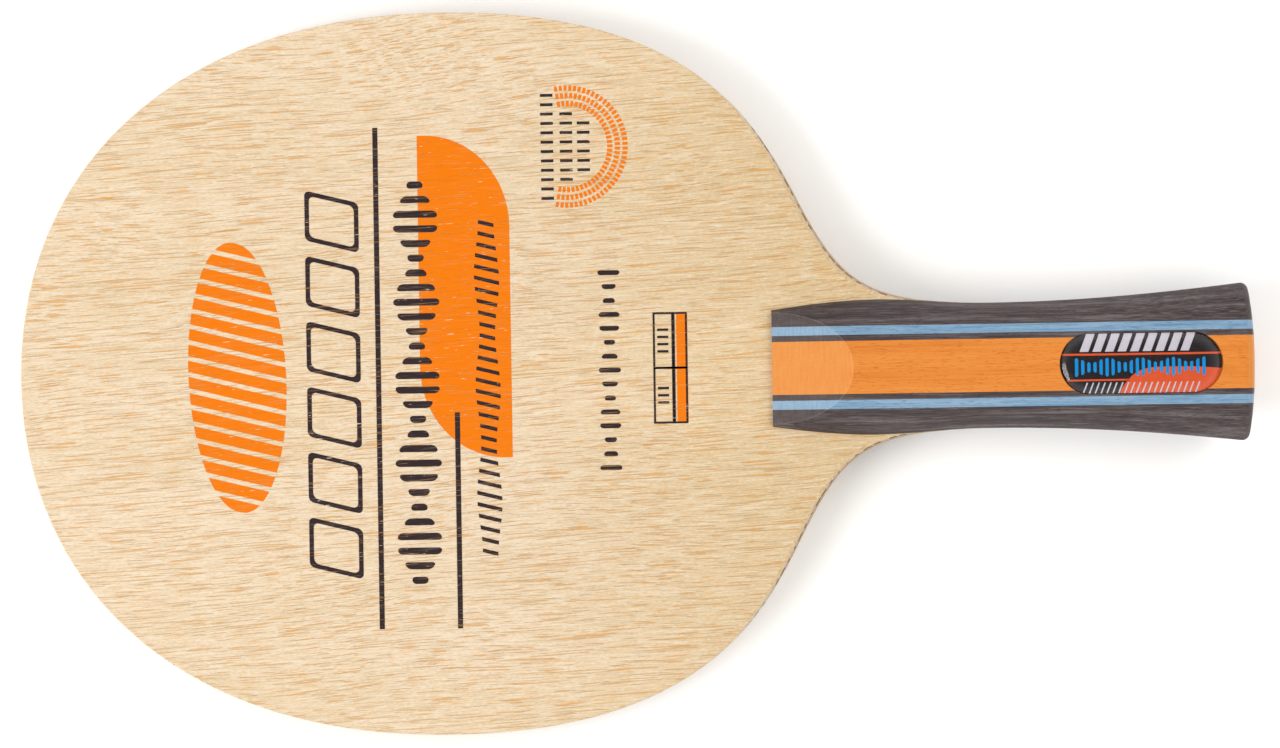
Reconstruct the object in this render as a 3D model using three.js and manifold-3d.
// A table tennis blade without its rubber sheets: five wood plies and two fibre plies pressed into one
// board, a grip of two half-shells glued on either side of the board's tang, each half-shell laminated
// from seven coloured strips, and a printed badge under a clear resin lens let into the front half.
// Millimetres. +X runs along the grip towards its butt, +Y across, +Z out of the front face.
import * as THREE from "three";
import { mergeVertices } from "three/addons/utils/BufferGeometryUtils.js";
import Module from "manifold-3d";

const wasm = await Module();
wasm.setup();

// Lengths along X
const TIP_X = -128.5;
const WIDEST_X = -40;
const GRIP_FRONT_X = 28;
const SHOULDER_X = 34;
const WAIST_X = 72;
const TANG_END_X = 87;
const BUTT_X = 128.5;

// Half-widths of the head, shoulder, tang and grip
const HEAD_HALF = 75.25;
const SHOULDER_HALF = 34.7;
const TANG_HALF = 12.8;
const GRIP_FRONT_HALF = 12.15;
const WAIST_HALF = 13.05;
const BUTT_HALF = 16.75;

// Thickness of the grip, and the ply layup from the front face down
const GRIP_WAIST_THICK = 22;
const GRIP_BUTT_THICK = 23.2;
const OUTER_VENEER_THICK = 0.6;
const FIBRE_PLY_THICK = 0.25;
const INNER_VENEER_THICK = 0.6;
const CORE_THICK = 4.1;
const FACE_BUILD = OUTER_VENEER_THICK + FIBRE_PLY_THICK + INNER_VENEER_THICK;
const BOARD_THICK = CORE_THICK + 2 * FACE_BUILD;
const MID_Z = GRIP_BUTT_THICK / 2;
const FACE_Z = BOARD_THICK / 2;

// Grip section: an oval trimmed to upright sides along the board's edge. Then its crowned butt and the
// slanted flat sanded onto the front of each half.
const SECTION_POWER = 2.1;
const BUTT_EDGE_X = 125.5;
const BUTT_EDGE_RISE = 1.85;
const BUTT_EDGE_SHARE = 0.12;
const BEVEL_END_X = 44.5;
const BEVEL_STEP = 1.1;

// Strips of each grip half, as distances of their glue lines from the centre line
const ORANGE_EDGE = 5.5;
const THIN_DARK_EDGE = 6.75;
const BLUE_EDGE = 8.6;

// Badge let into the front half
const BADGE_X = 104.15;
const BADGE_LENGTH = 33.6;
const BADGE_WIDTH = 12.4;
const BADGE_CLEARANCE = 0.15;
const BADGE_FLOOR_Z = 9.6;
const LABEL_THICK = 0.3;
const LENS_RIM = 0.5;
const LENS_CROWN = 1.35;
const LENS_SHOULDER = 3;

// Fineness of the facets
const OUTLINE_STEPS = 16;
const SECTION_STEPS = 28;
const STATION_STEP = 5;
const BADGE_ARC_STEPS = 8;
const FAR = 200;

// ---- materials --------------------------------------------------------------------------------

function finish(color, roughness, metalness = 0) {
  return new THREE.MeshStandardMaterial({ color, roughness, metalness });
}

const paleVeneer = () => finish(0xecd5a6, 0.55);
const innerVeneer = () => finish(0xd9bc8a, 0.6);
const fibreCloth = () => finish(0x4a4644, 0.45);
const balsa = () => finish(0xeadcc0, 0.75);
const charcoalWood = () => finish(0x554c4c, 0.5);
const blueWood = () => finish(0x82b3da, 0.5);
const orangeWood = () => finish(0xf4973f, 0.5);
const printedFoil = () => finish(0x231f20, 0.4);
const clearResin = () => finish(0xf2f4f5, 0.05);

// ---- solids -----------------------------------------------------------------------------------

// A closed three.js geometry as a solid that can be joined and cut.
function solidOf(geometry) {
  const bare = geometry.clone();
  bare.deleteAttribute("normal");
  bare.deleteAttribute("uv");
  const merged = mergeVertices(bare, 1e-4);
  const index = merged.index.array;
  const kept = [];
  for (let i = 0; i < index.length; i += 3) {
    const [a, b, c] = index.slice(i, i + 3);
    if (a !== b && b !== c && c !== a) kept.push(a, b, c);
  }
  return new wasm.Manifold(
    new wasm.Mesh({
      numProp: 3,
      vertProperties: merged.attributes.position.array,
      triVerts: new Uint32Array(kept),
    }),
  );
}

function meshOf(name, solid, material) {
  const { numVert, numProp, vertProperties, triVerts } = solid.getMesh();
  const corners = new Float32Array(numVert * 3);
  for (let i = 0; i < numVert; i++) {
    corners.set(vertProperties.subarray(i * numProp, i * numProp + 3), i * 3);
  }
  const geometry = new THREE.BufferGeometry();
  geometry.setAttribute("position", new THREE.BufferAttribute(corners, 3));
  geometry.setIndex(new THREE.BufferAttribute(triVerts, 1));
  const mesh = new THREE.Mesh(geometry, material);
  mesh.name = name;
  return mesh;
}

// A box between two corners.
function block([x0, y0, z0], [x1, y1, z1]) {
  const geometry = new THREE.BoxGeometry(x1 - x0, y1 - y0, z1 - z0);
  geometry.translate((x0 + x1) / 2, (y0 + y1) / 2, (z0 + z1) / 2);
  return solidOf(geometry);
}

// ---- blade outline ----------------------------------------------------------------------------

// One side of the outline in three curves: tip to widest point, widest point to the steepest part of
// the shoulder, and shoulder to the tang, which ends inside the grip.
function outlineCurves() {
  const shoulderSlope = THREE.MathUtils.degToRad(-63);
  const along = new THREE.Vector2(Math.cos(shoulderSlope), Math.sin(shoulderSlope));
  const tip = new THREE.Vector2(TIP_X, 0);
  const widest = new THREE.Vector2(WIDEST_X, HEAD_HALF);
  const shoulder = new THREE.Vector2(SHOULDER_X, SHOULDER_HALF);
  const tang = new THREE.Vector2(TANG_END_X, TANG_HALF);
  const [tipPull, widestFrontPull, widestRearPull, shoulderPull, neckPull, tangPull] = [
    43.5, 56, 53.5, 17.7, 23, 37.5,
  ];
  return [
    new THREE.CubicBezierCurve(
      tip,
      new THREE.Vector2(TIP_X, tipPull),
      new THREE.Vector2(WIDEST_X - widestFrontPull, HEAD_HALF),
      widest,
    ),
    new THREE.CubicBezierCurve(
      widest,
      new THREE.Vector2(WIDEST_X + widestRearPull, HEAD_HALF),
      shoulder.clone().addScaledVector(along, -shoulderPull),
      shoulder,
    ),
    new THREE.CubicBezierCurve(
      shoulder,
      shoulder.clone().addScaledVector(along, neckPull),
      new THREE.Vector2(TANG_END_X - tangPull, TANG_HALF),
      tang,
    ),
  ];
}

function bladeOutline() {
  const side = outlineCurves().flatMap((curve) => curve.getPoints(OUTLINE_STEPS).slice(1));
  const otherSide = side.map((p) => new THREE.Vector2(p.x, -p.y)).reverse();
  return new THREE.Shape([new THREE.Vector2(TIP_X, 0), ...otherSide.reverse(), ...side.reverse()]);
}

// ---- grip body --------------------------------------------------------------------------------

// Half-width of the grip at the board's mid-plane: a swell behind the neck, a waist, then the flare.
const swell = new THREE.CubicBezierCurve(
  new THREE.Vector2(GRIP_FRONT_X, GRIP_FRONT_HALF),
  new THREE.Vector2(52.3, 15.9),
  new THREE.Vector2(58.4, WAIST_HALF),
  new THREE.Vector2(WAIST_X, WAIST_HALF),
);
const flare = new THREE.CubicBezierCurve(
  new THREE.Vector2(WAIST_X, WAIST_HALF),
  new THREE.Vector2(92, WAIST_HALF),
  new THREE.Vector2(108, 14.4),
  new THREE.Vector2(BUTT_X, BUTT_HALF),
);

// Height of a curve at x, where the curve always moves towards +X.
function heightAt(curve, x) {
  let low = 0;
  let high = 1;
  for (let i = 0; i < 30; i++) {
    const middle = (low + high) / 2;
    if (curve.getPoint(middle).x < x) low = middle;
    else high = middle;
  }
  return curve.getPoint((low + high) / 2).y;
}

function halfWidth(x) {
  return heightAt(x < WAIST_X ? swell : flare, x);
}

function halfThickness(x) {
  const waist = GRIP_WAIST_THICK / 2;
  const share = THREE.MathUtils.clamp((x - WAIST_X) / (BUTT_EDGE_X - WAIST_X), 0, 1);
  return waist + (GRIP_BUTT_THICK / 2 - waist) * share * share;
}

// Profile of a grip of unit radius: flat front, straight side, rounded edge and crowned butt. It runs
// from the butt to the front, which turns the faces outwards.
function unitProfile() {
  const points = [new THREE.Vector2(0, GRIP_FRONT_X)];
  const stations = Math.round((BUTT_EDGE_X - GRIP_FRONT_X) / STATION_STEP);
  for (let i = 0; i <= stations; i++) {
    points.push(new THREE.Vector2(1, THREE.MathUtils.lerp(GRIP_FRONT_X, BUTT_EDGE_X, i / stations)));
  }
  for (const degrees of [25, 50, 75]) {
    const turn = THREE.MathUtils.degToRad(degrees);
    const r = 1 - BUTT_EDGE_SHARE * (1 - Math.cos(turn));
    points.push(new THREE.Vector2(r, BUTT_EDGE_X + BUTT_EDGE_RISE * Math.sin(turn)));
  }
  points.push(new THREE.Vector2(0.72, BUTT_X - 0.68));
  points.push(new THREE.Vector2(0.45, BUTT_X - 0.2));
  points.push(new THREE.Vector2(0, BUTT_X));
  return points.reverse();
}

// The whole grip: the unit profile turned about X, then widened and thickened station by station. The
// oval is drawn a little too wide and clipped, which leaves its sides upright over the board's edge.
function gripBody() {
  const geometry = new THREE.LatheGeometry(unitProfile(), SECTION_STEPS);
  const place = geometry.attributes.position;
  const roundness = 2 / SECTION_POWER;
  const sideFlat = (x) =>
    (1 - (FACE_Z / halfThickness(x)) ** SECTION_POWER) ** (-1 / SECTION_POWER);
  for (let i = 0; i < place.count; i++) {
    const x = place.getY(i);
    const across = place.getX(i);
    const up = place.getZ(i);
    const r = Math.hypot(across, up) || 1;
    const bulge = (value) => r * Math.sign(value) * Math.abs(value / r) ** roundness;
    const side = THREE.MathUtils.clamp(sideFlat(x) * bulge(across), -r, r);
    place.setXYZ(i, x, side * halfWidth(x), bulge(up) * halfThickness(x) + MID_Z);
  }
  return solidOf(geometry);
}

// Everything in front of the slanted flat on one half; side is 1 for the front half, -1 for the back.
function bevelCutter(side) {
  const rise = halfThickness(BEVEL_END_X) - FACE_Z - BEVEL_STEP;
  const slope = rise / (BEVEL_END_X - GRIP_FRONT_X);
  const height = (x) => FACE_Z + BEVEL_STEP + slope * (x - GRIP_FRONT_X);
  const near = GRIP_FRONT_X - 5;
  const far = BEVEL_END_X + 20;
  const wedge = new THREE.Shape([
    new THREE.Vector2(near, height(near)),
    new THREE.Vector2(far, height(far)),
    new THREE.Vector2(near, height(far)),
  ]);
  const geometry = new THREE.ExtrudeGeometry(wedge, { depth: 2 * BUTT_HALF, bevelEnabled: false });
  geometry.translate(0, 0, -BUTT_HALF);
  geometry.rotateX((side * Math.PI) / 2);
  geometry.translate(0, 0, MID_Z);
  return solidOf(geometry);
}

// ---- badge ------------------------------------------------------------------------------------

function stadium(length, width) {
  const r = width / 2;
  const reach = length / 2 - r;
  const shape = new THREE.Shape();
  shape.absarc(BADGE_X + reach, 0, r, -Math.PI / 2, Math.PI / 2);
  shape.absarc(BADGE_X - reach, 0, r, Math.PI / 2, (3 * Math.PI) / 2);
  return shape;
}

function stadiumPlate(grow, bottom, top) {
  const outline = stadium(BADGE_LENGTH + 2 * grow, BADGE_WIDTH + 2 * grow);
  const geometry = new THREE.ExtrudeGeometry(outline, {
    depth: top - bottom,
    curveSegments: BADGE_ARC_STEPS,
    bevelEnabled: false,
  });
  geometry.translate(0, 0, MID_Z + bottom);
  return solidOf(geometry);
}

function resinLens() {
  const seat = BADGE_FLOOR_Z + LABEL_THICK;
  const geometry = new THREE.ExtrudeGeometry(stadium(BADGE_LENGTH, BADGE_WIDTH), {
    depth: 2 * LENS_RIM,
    curveSegments: BADGE_ARC_STEPS,
    bevelEnabled: true,
    bevelThickness: LENS_CROWN,
    bevelSize: LENS_SHOULDER,
    bevelOffset: -LENS_SHOULDER,
    bevelSegments: 4,
  });
  geometry.translate(0, 0, MID_Z + seat - LENS_RIM);
  const aboveSeat = block([0, -FAR, MID_Z + seat], [FAR, FAR, MID_Z + FAR]);
  return solidOf(geometry).intersect(aboveSeat);
}

// ---- assembly ---------------------------------------------------------------------------------

const grip = gripBody();

function addPlies(group) {
  const geometry = new THREE.ExtrudeGeometry(bladeOutline(), {
    depth: BOARD_THICK,
    bevelEnabled: false,
  });
  geometry.translate(0, 0, MID_Z - FACE_Z);
  const board = solidOf(geometry).add(grip);
  const layup = [
    ["front_outer_veneer", OUTER_VENEER_THICK, paleVeneer],
    ["front_fibre_ply", FIBRE_PLY_THICK, fibreCloth],
    ["front_inner_veneer", INNER_VENEER_THICK, innerVeneer],
    ["balsa_core", CORE_THICK, balsa],
    ["back_inner_veneer", INNER_VENEER_THICK, innerVeneer],
    ["back_fibre_ply", FIBRE_PLY_THICK, fibreCloth],
    ["back_outer_veneer", OUTER_VENEER_THICK, paleVeneer],
  ];
  let top = MID_Z + FACE_Z;
  for (const [name, thick, material] of layup) {
    const layer = block([-FAR, -FAR, top - thick], [FAR, FAR, top]);
    group.add(meshOf(name, board.intersect(layer), material()));
    top -= thick;
  }
}

function addGripHalf(group, prefix, side) {
  const face = MID_Z + side * FACE_Z;
  const far = MID_Z + side * FAR;
  const pocket = stadiumPlate(BADGE_CLEARANCE, BADGE_FLOOR_Z, FAR);
  const beveled = grip.subtract(bevelCutter(side));
  const half = side > 0 ? beveled.subtract(pocket) : beveled;
  const strips = [
    ["left_outer_strip", BLUE_EDGE, FAR, charcoalWood],
    ["left_blue_strip", THIN_DARK_EDGE, BLUE_EDGE, blueWood],
    ["left_thin_strip", ORANGE_EDGE, THIN_DARK_EDGE, charcoalWood],
    ["orange_strip", -ORANGE_EDGE, ORANGE_EDGE, orangeWood],
    ["right_thin_strip", -THIN_DARK_EDGE, -ORANGE_EDGE, charcoalWood],
    ["right_blue_strip", -BLUE_EDGE, -THIN_DARK_EDGE, blueWood],
    ["right_outer_strip", -FAR, -BLUE_EDGE, charcoalWood],
  ];
  for (const [name, from, to, material] of strips) {
    const slice = block([0, from, Math.min(face, far)], [FAR, to, Math.max(face, far)]);
    group.add(meshOf(`${prefix}_${name}`, half.intersect(slice), material()));
  }
}

function addBadge(group) {
  const label = stadiumPlate(0, BADGE_FLOOR_Z, BADGE_FLOOR_Z + LABEL_THICK);
  group.add(meshOf("badge_label", label, printedFoil()));
  group.add(meshOf("badge_resin_lens", resinLens(), clearResin()));
}

const blade = new THREE.Group();
addPlies(blade);
addGripHalf(blade, "front", 1);
addGripHalf(blade, "back", -1);
addBadge(blade);

export default blade;
